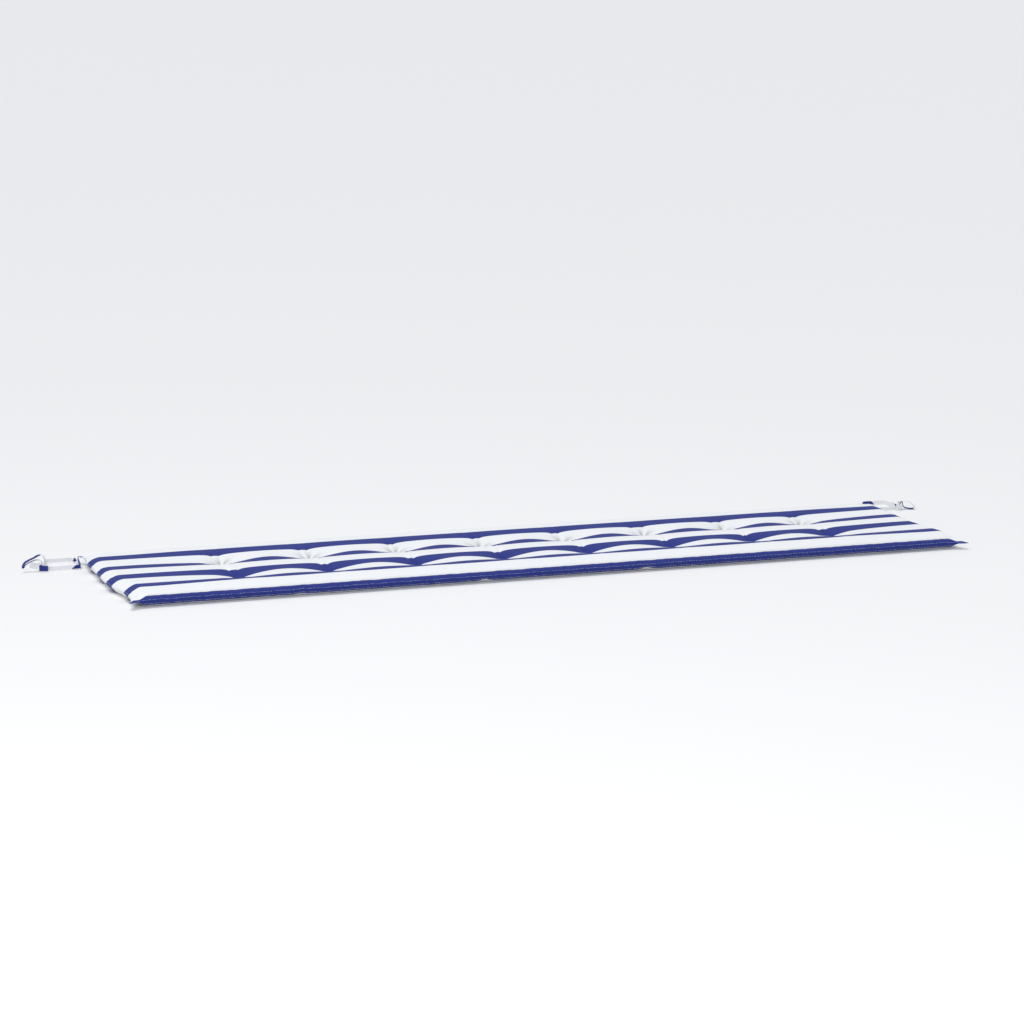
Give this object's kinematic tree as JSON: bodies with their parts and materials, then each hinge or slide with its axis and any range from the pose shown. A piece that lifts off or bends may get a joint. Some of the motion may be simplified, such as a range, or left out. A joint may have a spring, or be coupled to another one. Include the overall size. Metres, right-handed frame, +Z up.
{
  "type": "bench cushion",
  "caption": "Long thin tufted seat cushion in striped outdoor cloth, with drawn-in corners and a tied bow at each rear corner.",
  "frame": {"origin": "middle of the cushion's flat underside, on the surface it lies on", "axes": "+X along the cushion's length, +Y to the rear edge with the ties, +Z up"},
  "size_m": [2.2627, 0.5659, 0.0355],
  "materials": {
    "striped_cloth": "plain-woven polyester outdoor cloth in royal blue and white stripes, matt",
    "tie_cloth": "the same woven cloth folded to a narrow tape, cut across its stripes, matt"
  },
  "bodies": {
    "root": {"cushion": "striped_cloth", "left_front_tie": "tie_cloth", "left_rear_tie": "tie_cloth", "left_knot": "tie_cloth", "left_outer_loop": "tie_cloth", "left_rear_loop": "tie_cloth", "left_rear_end": "tie_cloth", "left_front_end": "tie_cloth", "right_front_tie": "tie_cloth", "right_rear_tie": "tie_cloth", "right_knot": "tie_cloth", "right_outer_loop": "tie_cloth", "right_rear_loop": "tie_cloth", "right_rear_end": "tie_cloth", "right_front_end": "tie_cloth"}
  },
  "joints": []
}
